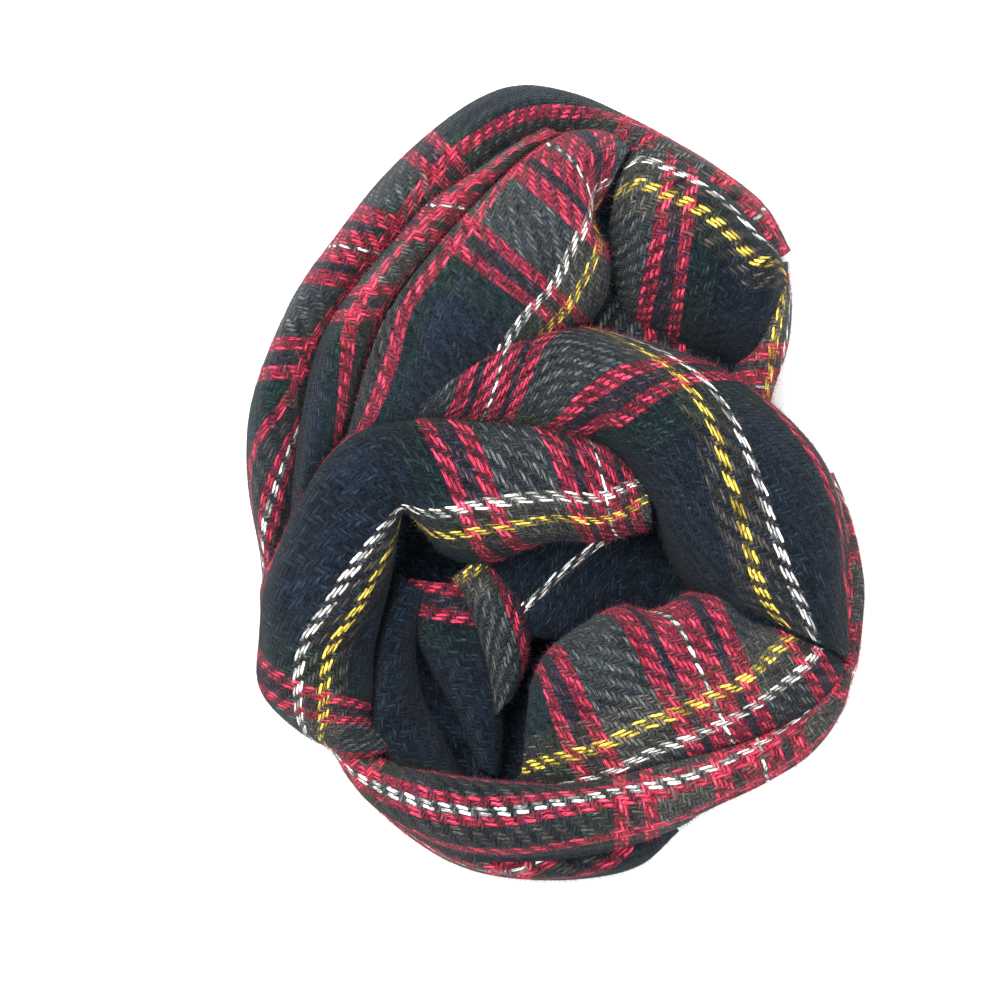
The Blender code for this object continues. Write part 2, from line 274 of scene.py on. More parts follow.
weave = {
    "alongPitch": 2.5,         # from one lengthwise yarn to the next, mm
    "acrossPitch": 2.4,        # from one crosswise yarn to the next, mm
    "over": 2.0,               # yarns that a float passes over
    "repeat": 4.0,             # yarns after which the twill comes again
    "lineYarn": 29.5,          # lengthwise yarns from the white pair to the white line's middle
    "lineHalfLay": 3.75,       # half the white line's width in the lay of the yarns, mm
    "lineHalf": 3.0,           # the same over the cloth as it lies, mm
    "wobble": 0.7,             # how far the yarns stray, in yarns
    "slant": 0.5,              # how far each float leans over its length, in yarns
    "overlap": 0.50,           # how far a float reaches over the next yarn, in yarns
    "thinness": 1.22,          # pitch over the thickness of a yarn
    "sectionPower": 0.6,       # below 1 a float is flatter on top, from side to side
    "lengthPower": 0.45,       # the same from end to end
    "luckHeight": (0.6, 0.5),  # share of a float's height left to chance, and its least
    "plump": 0.5,              # how much prouder the white and the yellow yarns stand
    "plumpAbove": 0.68,        # they are the dyes with more red than this
    "tallest": 1.15,           # in heights of a common float
    "relief": 0.0012,          # height of a float, m
}

fibre = {
    "strayScale": 70.0,               # waves to the metre in the noise that moves the yarns
    "strayDetail": 2.0,
    "lintScale": 420.0,               # the same in the loose fibre
    "lintDetail": 3.0,
    "patchScale": 36.0,               # and in the patches where it is thick
    "patchDetail": 2.0,
    "strandScale": (0.8, 6.0),        # waves to a yarn, along a strand and across it
    "luckShade": (1.1, 0.45),         # share of a float's shade left to chance, and its least
    "strandShade": (6.0, 2.2, 0.15),  # gain, offset and least value of each noise
    "veilShade": (5.0, 1.5, 0.15),
    "bleedShade": (3.0, 1.0, 0.0),
    "patchShade": (3.2, 1.1, 0.0),
    "veilMix": 0.5,                   # crosswise dye in the veil of loose fibre
    "veilPatches": 0.6,               # share of the veil that lies in patches
    "veilGain": 2.0,
    "veilShed": 0.8,                  # how much of it a red or a light yarn sheds
    "strandRelief": 0.5,              # heights of the strands and of the loose fibre, in floats
    "lintRelief": 0.2,
    "roughness": 0.80,                # the least, and what the strands add
    "strandRoughness": 0.2,
    "specular": 0.06,
    "sheenRoughness": 0.45,
    "sheenTint": (0.86, 0.88, 0.92, 1.0),
}


def settStops(sett, dyes):
    total = sum(count for _, count in sett)
    stops = []
    place = 0
    for dye, count in sett:
        stops.append((place / total, dyes[dye]))
        place += count
    return stops, total


def dyePair(graph, row, column, along, across, dyes):
    # the dyes of the lengthwise yarn and of the crosswise yarn at one place
    stops, total = settStops(along, dyes)
    warp = graph.node("ShaderNodeValToRGB", {"stops": stops}, ((column + 0.5).pingpong(total) / total,))
    stops, total = settStops(across, dyes)
    share = (row.pingpong(total - 0.5) + 0.5) / total
    return warp, graph.node("ShaderNodeValToRGB", {"stops": stops}, (share,))


def roundOff(position, power):
    # 1 - (2p - 1)^2, raised to a power below 1 so that the top is flatter
    side = position * 2.0 - 1.0
    return (1.0 - side * side).atLeast(0.0) ** power


def stretched(noise, gain, offset, least):
    # pulls a noise out to the range that is wanted
    return (noise * gain - offset).atLeast(least)


def floatHeight(graph, acrossIt, alongIt, luck, dye):
    # round in section and tapered to both ends, and prouder where the dye is light; the material paints
    # its shade from this height, so prouder floats are painted lighter
    form = roundOff(acrossIt, weave["sectionPower"]) * roundOff(alongIt, weave["lengthPower"])
    share, least = weave["luckHeight"]
    plump = (graph.redOf(dye) > weave["plumpAbove"]) * weave["plump"] + 1.0
    return form * (luck * share + least) * plump


def clothMaterial(name, look):
    # A 2/2 twill, in yarns u along the scarf and v across it. A lengthwise float lies over
    # two crosswise yarns where (u + column) mod 4 < 2, and a crosswise one over the others.
    # Each reaches a little over the next yarn, so the higher of the two is seen.
    material = bpy.data.materials.new(name)
    material.use_nodes = True
    graph = Graph(material)
    shader = material.node_tree.nodes["Principled BSDF"]
    place = graph.node("ShaderNodeTexCoord", output="Object")
    if look["lay"] == "uv":
        lay = graph.node("ShaderNodeUVMap", {"uv_map": "yarnLay"})
    else:
        lay = place
    stray = graph.noise(place, fibre["strayScale"], fibre["strayDetail"], "Color")
    strayX, strayY, _ = graph.parts(stray)
    layX, layY, _ = graph.parts(lay)
    wobble = weave["wobble"]
    u = layX / (weave["acrossPitch"] * mm) + (strayX - 0.5) * wobble + 0.5
    v = layY / (weave["alongPitch"] * mm) + (strayY - 0.5) * wobble + weave["lineYarn"]
    row = u.floor()
    column = v.floor()

    over, repeat, overlap = weave["over"], weave["repeat"], weave["overlap"]
    reach = over + 2.0 * overlap
    alongTurn = u + column + overlap
    acrossTurn = v + row + over + overlap
    alongFloat = ((alongTurn % repeat) / reach).atMost(1.0)
    acrossFloat = ((acrossTurn % repeat) / reach).atMost(1.0)
    slant, thinness = weave["slant"], weave["thinness"]
    overWarp = (v.fract() - 0.5 + (alongFloat - 0.5) * slant) * thinness + 0.5
    overWeft = (u.fract() - 0.5 + (acrossFloat - 0.5) * slant) * thinness + 0.5
    warpLuck = graph.chance(column, (alongTurn / repeat).floor())
    weftLuck = graph.chance((acrossTurn / repeat).floor(), row + 0.5)
    warpDye, weftDye = dyePair(graph, row, column, look["along"], look["across"], yarnDyes)
    looseDyes = dyePair(graph, row, column, look["along"], look["across"], brushedDyes)
    warpHeight = floatHeight(graph, overWarp, alongFloat, warpLuck, warpDye)
    weftHeight = floatHeight(graph, overWeft, acrossFloat, weftLuck, weftDye)
    lengthwiseUp = warpHeight > weftHeight
    height = warpHeight.atLeast(weftHeight).atMost(weave["tallest"])
    luck = lengthwiseUp * warpLuck + (1.0 - lengthwiseUp) * weftLuck
    topDye = graph.blend(lengthwiseUp, weftDye, warpDye)
    underDye = graph.blend(lengthwiseUp, warpDye, weftDye)

    # fine strands lie along each yarn, and loose fibre lies over all of them in patches
    alongStrand, acrossStrand = fibre["strandScale"]
    warpHair = graph.strands(u * alongStrand, v * acrossStrand)
    weftHair = graph.strands(u * acrossStrand, v * alongStrand)
    hair = lengthwiseUp * warpHair + (1.0 - lengthwiseUp) * weftHair
    lint = graph.noise(place, fibre["lintScale"], fibre["lintDetail"])
    patch = graph.noise(place, fibre["patchScale"], fibre["patchDetail"])
    brushed = stretched(patch, *fibre["patchShade"]).atMost(1.0)

    # the yarn below shows through a little; painted shade darkens each float towards its edges and
    # ends, most of all in the gaps between floats
    seen = graph.blend(stretched(lint, *fibre["bleedShade"]) * look["bleed"], topDye, underDye)
    share, least = fibre["luckShade"]
    # painted shade: the colour is multiplied by the float's height to the power contrast, and never
    # falls below gap
    shade = (height ** look["contrast"]) * (1.0 - look["gap"]) + look["gap"]
    shade = shade * (luck * share + least) * stretched(hair, *fibre["strandShade"])
    colour = graph.shaded(seen, shade)
    veil = graph.blend(fibre["veilMix"], *looseDyes)
    veil = graph.shaded(veil, stretched(hair, *fibre["veilShade"]))
    inPatches = fibre["veilPatches"]
    veilShare = (brushed * inPatches + (1.0 - inPatches)) * lint * fibre["veilGain"] * look["veil"]
    veilShare = veilShare * (1.0 - graph.redOf(topDye) * fibre["veilShed"])
    colour = graph.blend(veilShare.atMost(1.0), colour, veil)
    graph.tree.links.new(colour.socket, shader.inputs["Base Color"])

    relief = height + hair * fibre["strandRelief"] + lint * fibre["lintRelief"]
    normal = graph.node("ShaderNodeBump", {}, {
        "Strength": look["bump"], "Distance": weave["relief"], "Height": relief,
    })
    graph.tree.links.new(normal.socket, shader.inputs["Normal"])
    roughness = fibre["roughness"] + hair * fibre["strandRoughness"]
    graph.tree.links.new(roughness.socket, shader.inputs["Roughness"])
    shader.inputs["Specular IOR Level"].default_value = fibre["specular"]
    shader.inputs["Sheen Weight"].default_value = look["sheen"]
    shader.inputs["Sheen Roughness"].default_value = fibre["sheenRoughness"]
    shader.inputs["Sheen Tint"].default_value = fibre["sheenTint"]
    return material


def makeCloths():
    looks = {
        "cloth_navy_with_lines": {"bleed": 0.10, "veil": 0.40, "sheen": 0.03},
        "cloth_red_band": {"bleed": 0.20, "veil": 0.60, "sheen": 0.04},
        "cloth_green_and_red": {"bleed": 0.20, "veil": 0.60, "sheen": 0.06},
        "cloth_hidden": {"bleed": 0.10, "veil": 0.40, "sheen": 0.03, "lay": "object",
                         "along": [("navy", 1)], "across": [("navy", 1)]},
    }
    # gap is the painted shade left in the gaps between floats, and contrast sets how fast the painted
    # shade deepens towards a float's edges
    shared = {
        "lay": "uv", "gap": 0.04, "contrast": 1.5, "bump": 1.0,
        "along": alongSett, "across": acrossSett,
    }
    return {name: clothMaterial(name, {**shared, **look}) for name, look in looks.items()}


cloths = makeCloths()
print("cloth materials made")

shell = {
    "thickness": 2.4,    # mm, as the solids
    "fullness": 0.8,     # below 1 the section is fuller than half an ellipse
    "leanReach": 0.4,    # share of the width by which a full lean moves the crown
    "tuck": 0.1,         # share of its height by which cloth turns in at the surface
    "soleTop": 13.0,     # height of the lowest hidden layer
    "pointsAcross": 64,
    "spacing": 2.6,      # distance between two sections of the mesh
    "slack": 1.25,       # length over the crowns, in lengths between the middles
    "fewestSteps": 4,    # sections for each row of a table, at the least
    "creaseEnds": 0.35,  # how high a crease is at its ends, in heights of its middle
}


def rowsBetween(table, steps):
    # Catmull-Rom: 0.5 (2b + (c-a)t + (2a-5b+4c-d)t^2 + (3b-a-3c+d)t^3) from row b to row c
    before = np.vstack((2 * table[0] - table[1], table[:-2]))
    after = np.vstack((table[2:], 2 * table[-1] - table[-2]))
    start, end = table[:-1], table[1:]
    t = (np.arange(steps) / steps)[None, :, None]
    a, b, c, d = (rows[:, None, :] for rows in (before, start, end, after))
    inside = 0.5 * (2 * b + (c - a) * t + (2 * a - 5 * b + 4 * c - d) * t ** 2
                    + (3 * b - a - 3 * c + d) * t ** 3)
    return np.vstack((inside.reshape(-1, table.shape[1]), table[-1:]))


def archedSurface(sections):
    # Across each section, with angle a from 0 to pi: the plan goes from the outer edge
    # to the inner one by (1 - cos a)/2 + lean sin^2 a, and the height from foot to crown
    # by sin a to the power of fullness.
    outer, inner = sections[:, None, 0:2], sections[:, None, 2:4]
    crown, outerFoot, innerFoot, lean = (sections[:, column, None] for column in range(4, 8))
    angle = np.linspace(0, math.pi, shell["pointsAcross"] + 1)[None, :]
    share = (1 - np.cos(angle)) / 2 + shell["leanReach"] * lean * np.sin(angle) ** 2
    rise = np.abs(np.sin(angle)) ** shell["fullness"]
    foot = outerFoot + (innerFoot - outerFoot) * share
    reachesSurface = np.maximum(0.0, 1 - outerFoot / shell["soleTop"])
    tuck = shell["tuck"] * crown * reachesSurface * (1 - rise) ** 2 * (angle < math.pi / 2)
    width = np.linalg.norm(inner - outer, axis=2)
    plan = outer + (inner - outer) * (share + tuck / width)[..., None]
    height = foot + (crown - foot) * rise
    return np.dstack((plan, height[..., None]))


def arcAcross(points):
    # distance over the cloth from the outer edge, along each section
    steps = np.linalg.norm(np.diff(points, axis=1), axis=2)
    return np.hstack((np.zeros((len(points), 1)), np.cumsum(steps, axis=1)))


def outwardNormals(points):
    along = np.gradient(points, axis=0)
    across = np.gradient(points, axis=1)
    normals = np.cross(across, along)
    normals /= np.maximum(np.linalg.norm(normals, axis=2, keepdims=True), 1e-9)
    middle = normals[:, normals.shape[1] // 2, 2].mean()
    return normals * (1.0 if middle > 0 else -1.0)


def creased(points, arc, x, rowStep, creases):
    # Each crease is a line between two points of the cloth. It lifts or sinks the cloth
    # by height * exp(-(distance / width)^2), and dies away towards both ends. Here x is
    # the distance along the stretch.
    lift = np.zeros(arc.shape)
    ends = shell["creaseEnds"]
    for fromRow, fromArc, toRow, toArc, height, width in creases:
        startX, endX = fromRow * rowStep, toRow * rowStep
        runX, runY = endX - startX, toArc - fromArc
        length = math.hypot(runX, runY)
        t = ((x - startX) * runX + (arc - fromArc) * runY) / length ** 2
        near = np.clip(t, 0.0, 1.0)
        distance = np.hypot(x - startX - near * runX, arc - fromArc - near * runY)
        fade = ends + (1.0 - ends) * np.sin(math.pi * near)
        lift += height * fade * np.exp(-(distance / width) ** 2)
    return points + lift[..., None] * outwardNormals(points)


def gridMesh(name, points, yarnLay):
    rows, columns = points.shape[:2]
    mesh = bpy.data.meshes.new(name)
    corner = np.arange(rows * columns).reshape(rows, columns)
    quads = np.stack((corner[:-1, :-1], corner[1:, :-1], corner[1:, 1:], corner[:-1, 1:]), axis=2)
    quads = quads.reshape(-1, 4)
    normals = np.cross(np.gradient(points, axis=0), np.gradient(points, axis=1))
    if normals[:, columns // 2, 2].mean() < 0:
        quads = quads[:, ::-1]
    mesh.from_pydata((points.reshape(-1, 3) * mm), [], quads)
    mesh.shade_smooth()
    layer = mesh.uv_layers.new(name="yarnLay")
    layer.data.foreach_set("uv", (yarnLay.reshape(-1, 2)[quads.ravel()] * mm).ravel())
    item = bpy.data.objects.new(name, mesh)
    bpy.context.collection.objects.link(item)
    return item


nap = {
    "perSquareCentimetre": 42,  # fibres that stand off each square centimetre of cloth
    "short": (1.2, 3.2),        # lengths of most fibres, mm
    "long": (3.5, 7.0),         # lengths of the few that stray
    "strayShare": 0.10,
    "lean": (25, 80),           # from the normal of the cloth, degrees
    "width": 0.13,              # thickness at the root, mm
    "widthRange": (0.6, 1.2),   # from the thinnest to the thickest, in widths
    "rootDepth": 0.4,           # how far each root lies inside the cloth, mm
    "clearance": 0.3,           # least height of a fibre over the surface below the heap, mm
    "seed": 20,
    "dyes": {**yarnDyes, "white": (0.30, 0.29, 0.28), "yellow": (0.30, 0.22, 0.06)},
    "grey": (0.16, 0.16, 0.17, 1.0),
    "greyShare": 0.10,          # how much grey there is in every fibre
    "luckScale": 40000.0,       # sets one fibre's place well apart from the next one's
    "roughness": 0.9,
}


def napMaterial():
    # each fibre takes the dye of the lengthwise or the crosswise yarn that it stands on
    material = bpy.data.materials.new("napFibres")
    material.use_nodes = True
    graph = Graph(material)
    shader = material.node_tree.nodes["Principled BSDF"]
    layX, layY, _ = graph.parts(graph.node("ShaderNodeUVMap", {"uv_map": "yarnLay"}))
    row = (layX / (weave["acrossPitch"] * mm) + 0.5).floor()
    column = (layY / (weave["alongPitch"] * mm) + weave["lineYarn"]).floor()
    warpDye, weftDye = dyePair(graph, row, column, alongSett, acrossSett, nap["dyes"])
    luck = graph.chance(layX * nap["luckScale"], layY * nap["luckScale"])
    colour = graph.blend(luck > 0.5, weftDye, warpDye)
    colour = graph.blend(nap["greyShare"], colour, nap["grey"])
    graph.tree.links.new(colour.socket, shader.inputs["Base Color"])
    shader.inputs["Roughness"].default_value = nap["roughness"]
    shader.inputs["Specular IOR Level"].default_value = fibre["specular"]
    return material


napFibres = napMaterial()


def makeNap(piece, points, yarnLay, order):
    # Fibre n is a closed needle of four faces: three root points round p, at angles 0, 120
    # and 240 degrees, and a tip at p + length * (normal * cos lean + side * sin lean).
    random = np.random.default_rng(nap["seed"] + order)
    corner, along, across = points[:-1, :-1], np.diff(points, axis=0), np.diff(points, axis=1)
    along, across = along[:, :-1], across[:-1]
    area = np.linalg.norm(np.cross(along, across), axis=2)
    count = int(area.sum() / 100.0 * nap["perSquareCentimetre"])
    quad = random.choice(area.size, count, p=(area / area.sum()).ravel())
    s, t = random.random((2, count, 1))
    runAlong, runAcross = along.reshape(-1, 3)[quad], across.reshape(-1, 3)[quad]
    root = corner.reshape(-1, 3)[quad] + s * runAlong + t * runAcross
    normal = outwardNormals(points)[:-1, :-1].reshape(-1, 3)[quad]
    lay = yarnLay[:-1, :-1].reshape(-1, 2)[quad]
    lay = lay + s * np.diff(yarnLay, axis=0)[:, :-1].reshape(-1, 2)[quad]
    lay = lay + t * np.diff(yarnLay, axis=1)[:-1].reshape(-1, 2)[quad]
    first = runAlong / np.linalg.norm(runAlong, axis=1, keepdims=True)
    second = np.cross(normal, first)
    stray = random.random((count, 1)) < nap["strayShare"]
    length = np.where(stray, random.uniform(*nap["long"], (count, 1)),
                      random.uniform(*nap["short"], (count, 1)))
    lean = np.radians(random.uniform(*nap["lean"], (count, 1)))
    turn = random.uniform(0, 2 * math.pi, (count, 1))
    side = first * np.cos(turn) + second * np.sin(turn)
    aim = normal * np.cos(lean) + side * np.sin(lean)
    width = nap["width"] * random.uniform(*nap["widthRange"], (count, 1)) / 2
    ring = np.radians(np.array([0.0, 120.0, 240.0]))[None, :, None]
    base = (root - nap["rootDepth"] * normal)[:, None, :] + width[:, None, :] * (
        first[:, None, :] * np.cos(ring) + second[:, None, :] * np.sin(ring))
    tip = (root + length * aim)[:, None, :]
    # a fibre that would reach the surface below the heap is left out
    clear = np.minimum(base[:, :, 2].min(axis=1), tip[:, 0, 2]) > nap["clearance"]
    places = np.concatenate((base, tip), axis=1)[clear].reshape(-1, 3)
    lay = lay[clear]
    faces = np.array([(0, 1, 3), (1, 2, 3), (2, 0, 3), (0, 2, 1)])
    triangles = (np.arange(len(lay))[:, None, None] * 4 + faces).reshape(-1, 3)
    mesh = bpy.data.meshes.new(piece["name"] + "Nap")
    mesh.from_pydata(places * mm, [], triangles)
    layer = mesh.uv_layers.new(name="yarnLay")
    layer.data.foreach_set("uv", (np.repeat(lay, faces.size, axis=0) * mm).ravel())
    mesh.materials.append(napFibres)
    item = bpy.data.objects.new(piece["name"] + "Nap", mesh)
    bpy.context.collection.objects.link(item)
    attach(item, "root")
    return item


def layOfYarns(piece, sections, arc, x):
    # Along the scarf: along + skew * (arc - line). Across it: the distance over the cloth
    # from the white line, times lineHalfLay / lineHalf within the line and times the rate
    # of its own side beyond it.
    if "turned" in piece:
        # the scarf lies crosswise here: its length runs from the outer edge to the inner
        alongAtEdge, acrossAtStart = piece["turned"]
        return np.dstack((alongAtEdge + arc, acrossAtStart + x + 0 * arc))
    line, along, skew = (sections[:, column, None] for column in range(8, 11))
    outerRate, innerRate = piece["rates"]
    rate = np.where(arc < line, outerRate, innerRate)
    half = weave["lineHalf"]
    away = np.abs(arc - line)
    inLine = np.minimum(away, half) * weave["lineHalfLay"] / half
    across = np.sign(arc - line) * (inLine + np.maximum(0.0, away - half) * rate)
    if "paintedShadeBand" in piece:
        # painted shade: past the white line a dark stretch of the navy band goes on, to and fro, in
        # place of the taupe and yellow stripes of the sett
        start, low, high = piece["paintedShadeBand"]
        span = high - low
        toAndFro = high - np.abs((across - start) % (2 * span) - span)
        across = np.where(across > start, toAndFro, across)
    return np.dstack((along + skew * (arc - line), across))


def makeStretch(piece, order):
    table = np.array(piece["rows"], float)
    middles = (table[:, 0:2] + table[:, 2:4]) / 2
    rowStep = np.linalg.norm(np.diff(middles, axis=0), axis=1).mean()
    steps = max(shell["fewestSteps"], round(rowStep * shell["slack"] / shell["spacing"]))
    sections = rowsBetween(table, steps)
    x = (np.arange(len(sections)) / steps)[:, None] * rowStep
    points = archedSurface(sections)
    arc = arcAcross(points)
    yarnLay = layOfYarns(piece, sections, arc, x)
    points = creased(points, arc, x, rowStep, piece["creases"])
    item = gridMesh(piece["name"], points, yarnLay)
    item.data.materials.append(cloths[piece["slot"]])
    thicken = item.modifiers.new("thickness", "SOLIDIFY")
    thicken.thickness = shell["thickness"] * mm
    thicken.offset = -1.0
    thicken.use_even_offset = False
    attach(item, "root")
    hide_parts(piece["node"])
    fibres = makeNap(piece, points, yarnLay, order)


# Columns of each stretch, a row for each section from one end to the other:
# outerX, outerY, innerX, innerY  the two edges of the section in plan
# crown, outerFoot, innerFoot     heights of its top and of its two edges
# lean                            where the top lies, from -0.6 (outer) to 0.6 (inner)
# line                            distance over the cloth from the outer edge to the white line
# along                           length of scarf at that line, from the single white yarn
# skew                            how much further along the cloth is for each mm across
#
# Columns of the creases: fromRow, fromArc, toRow, toArc, height (below 0 a trough), width

coilArch = {
    "name": "coilArchCloth",
    "node": "coil_arch",
    "slot": "cloth_navy_with_lines",
    "held": "folded",
    "rates": (1.10, 1.05),
    "rows": [
        (-102, 33, -101, 22, 58, 40, 40, 0.0, -55, -114, 0.30),
        (-67, 52, -70, 28, 78, 45, 50, 0.0, -45, -73, 0.30),
        (-32, 72, -37, 29, 92, 48, 55, 0.0, -30, -30, 0.26),
        (3, 79, -2, 25, 100, 44, 55, 0.0, -10, 1, 0.50),
        (38, 73, 29, 14, 105, 36, 50, 0.1, 26, 30, 0.62),
        (75, 61, 46, -9, 109, 34, 40, 0.1, 54, 72, 0.50),
        (108, 40, 56, -34, 110, 36, 28, 0.0, 78, 107, 0.30),
        (134, 12, 68, -54, 108, 44, 24, 0.0, 84, 137, 0.15),
        (146, -23, 80, -62, 104, 46, 30, 0.0, 78, 159, 0.05),
        (147, -57, 92, -64, 98, 44, 50, 0.1, 65, 176, 0.0),
        (148, -88, 103, -67, 84, 40, 62, 0.1, 52, 190, 0.0),
    ],
    "creases": [
        (3.35, 62, 3.9, 118, -3.8, 5.0),
        (3.0, 58, 3.5, 110, 2.6, 8.0),
        (3.75, 55, 4.5, 112, 2.8, 9.0),
        (1.2, 30, 2.9, 52, 1.2, 8.0),
        (4.6, 96, 6.6, 128, -1.8, 9.0),
        (4.4, 128, 6.8, 160, 1.6, 9.0),
        (5.4, 30, 7.6, 40, 1.4, 13.0),
        (6.8, 96, 9.0, 112, 1.6, 10.0),
        (7.6, 24, 9.6, 34, -1.6, 9.0),
        (0.6, 44, 2.2, 84, -1.5, 7.0),
    ],
}

coilSweep = {
    "name": "coilSweepCloth",
    "node": "coil_sweep",
    "slot": "cloth_navy_with_lines",
    "held": "folded",
    "rates": (0.75, 1.3),
    "rows": [
        (47, -3, 48, -24, 74, 50, 42, 0.0, 8, -40, 0.30),
        (25, 21, 22, -30, 88, 50, 42, 0.0, 54, 2, 0.32),
        (-5, 30, -3, -30, 93, 50, 44, 0.0, 66, 33, 0.32),
        (-37, 33, -36, -41, 94, 50, 42, 0.1, 71, 63, 0.30),
        (-65, 35, -57, -35, 93, 50, 44, 0.1, 79, 87, 0.30),
        (-91, 31, -74, -15, 92, 45, 68, 0.1, 84, 109, 0.20),
        (-115, 15, -78, -26, 92, 40, 62, 0.1, 87, 123, 0.05),
        (-133, -14, -82, -48, 90, 25, 50, 0.2, 90, 145, -0.05),
        (-147, -46, -87, -68, 86, 18, 46, 0.2, 87, 167, -0.15),
        (-153, -79, -91, -86, 80, 2, 44, 0.2, 85, 189, -0.30),
        (-152, -105, -91, -106, 73, 2, 42, 0.2, 75, 213, -0.35),
        (-133, -126, -92, -120, 64, 2, 38, 0.1, 51, 239, -0.35),
        (-110, -138, -80, -131, 54, 2, 34, 0.0, 12, 270, -0.35),
        (-103, -142, -80, -134, 44, 2, 30, 0.0, 0, 283, -0.35),
    ],
    "creases": [
        (1.4, 40, 3.6, 52, 1.4, 10.0),
        (3.3, 66, 4.6, 88, -2.2, 6.0),
        (2.0, 88, 3.4, 96, 1.6, 7.0),
        (5.4, 40, 8.4, 52, 1.5, 12.0),
        (6.4, 64, 9.4, 70, -1.3, 8.0),
        (7.4, 112, 9.8, 116, -2.2, 6.0),
        (6.6, 100, 9.6, 100, 1.4, 7.0),
        (8.6, 30, 10.8, 44, 1.6, 9.0),
        (5.2, 16, 8.8, 26, -1.6, 7.0),
        (9.6, 84, 11.6, 74, 1.6, 8.0),
    ],
}

coilFront = {
    "name": "coilFrontCloth",
    "node": "coil_front",
    "slot": "cloth_red_band",
    "held": "folded",
    "rates": (0.9, 0.9),
    "rows": [
        (-115, -136, -96, -130, 36, 2, 20, 0.0, 102, -235, 0.0),
        (-98, -158, -83, -141, 54, 24, 35, 0.2, 112, -203, 0.0),
        (-77, -175, -63, -145, 66, 28, 44, 0.4, 125, -177, 0.0),
        (-53, -188, -41, -148, 74, 30, 46, 0.5, 136, -151, 0.0),
        (-27, -192, -19, -150, 78, 30, 46, 0.5, 143, -127, 0.0),
        (0, -191, 3, -151, 80, 30, 48, 0.5, 149, -101, 0.0),
        (29, -186, 28, -147, 80, 30, 48, 0.5, 149, -76, 0.0),
        (57, -177, 52, -141, 79, 24, 48, 0.4, 150, -50, 0.0),
        (81, -166, 76, -135, 78, 2, 48, 0.3, 169, -25, 0.0),
        (107, -153, 100, -127, 77, 2, 48, 0.2, 171, 0, 0.0),
        (130, -138, 121, -115, 75, 2, 44, 0.1, 173, 26, 0.0),
        (147, -116, 130, -102, 68, 2, 40, 0.0, 160, 51, 0.0),
        (153, -93, 134, -87, 56, 2, 36, 0.0, 143, 73, 0.0),
    ],
    "creases": [
        (1.4, 34, 5.8, 48, 1.5, 6.0),
        (2.4, 20, 6.6, 26, -1.8, 6.0),
        (4.4, 70, 8.6, 84, -1.5, 5.0),
        (6.6, 48, 10.4, 56, 1.4, 7.0),
        (7.8, 20, 11.0, 36, -1.7, 7.0),
    ],
}

innerPanel = {
    "name": "innerPanelCloth",
    "node": "inner_panel",
    "slot": "cloth_red_band",
    "held": "folded",
    "rates": (1.0, 1.0),
    "rows": [
        (-17, -150, -13, -104, 58, 45, 30, 0.4, -6, -109, 0.30),
        (2, -155, -4, -86, 66, 48, 30, 0.5, 6, -86, 0.30),
        (25, -152, 15, -71, 74, 50, 28, 0.5, 12, -64, 0.30),
        (47, -146, 33, -62, 80, 50, 24, 0.5, 20, -44, 0.30),
        (67, -140, 50, -65, 80, 50, 24, 0.5, 22, -23, 0.25),
        (85, -134, 67, -56, 86, 50, 28, 0.5, 28, -2, 0.20),
        (103, -128, 83, -55, 88, 50, 34, 0.5, 34, 18, 0.15),
        (121, -119, 98, -66, 84, 50, 40, 0.2, 40, 42, 0.10),
        (136, -109, 116, -71, 80, 50, 46, 0.2, 41, 62, 0.05),
        (146, -95, 135, -79, 68, 40, 48, 0.0, 44, 84, 0.0),
    ],
    "creases": [
        (4.2, 100, 5.0, 40, -2.4, 5.0),
        (4.9, 104, 5.5, 50, 2.8, 7.0),
        (3.2, 98, 4.2, 52, 1.8, 8.0),
        (0.8, 70, 2.4, 84, 1.4, 8.0),
        (5.9, 98, 6.6, 60, -2.2, 6.0),
        (1.8, 20, 5.6, 30, -1.0, 6.0),
    ],
}

backInnerFold = {
    "name": "backInnerFoldCloth",
    "node": "back_inner_fold",
    "slot": "cloth_green_and_red",
    "held": "folded",
    "rates": (0.87, 1.0),
    "rows": [
        (-111, 6, -81, 15, 62, 30, 40, 0.0, 80, -195, 0.0),
        (-103, 35, -61, 29, 76, 40, 40, 0.0, 92, -165, 0.0),
        (-95, 63, -40, 40, 87, 46, 40, 0.0, 96, -135, 0.0),
        (-82, 91, -17, 55, 95, 50, 38, 0.0, 92, -108, 0.0),
        (-65, 114, 2, 68, 100, 52, 36, 0.0, 92, -82, 0.0),
        (-47, 135, 17, 80, 102, 54, 36, 0.0, 91, -55, 0.0),
        (-28, 154, 26, 93, 101, 52, 36, 0.0, 85, -33, -0.10),
        (-11, 168, 28, 110, 98, 48, 38, 0.0, 82, -16, -0.20),
        (8, 176, 22, 121, 94, 44, 42, 0.0, 75, -1, -0.25),
        (25, 177, 18, 129, 88, 40, 46, 0.0, 68, 13, -0.20),
        (39, 169, 23, 140, 78, 36, 46, 0.0, 55, 29, -0.20),
    ],
    "creases": [
        (0.8, 30, 4.6, 28, 1.6, 8.0),
        (0.6, 12, 6.4, 15, -2.6, 6.0),
        (1.2, 48, 5.2, 50, -1.8, 7.0),
        (3.4, 84, 5.6, 108, -2.2, 7.0),
        (4.6, 66, 6.8, 74, 1.6, 9.0),
        (6.6, 96, 8.6, 84, -2.6, 5.0),
        (7.4, 56, 9.6, 48, 1.8, 7.0),
        (1.6, 78, 3.4, 96, 1.5, 8.0),
    ],
}

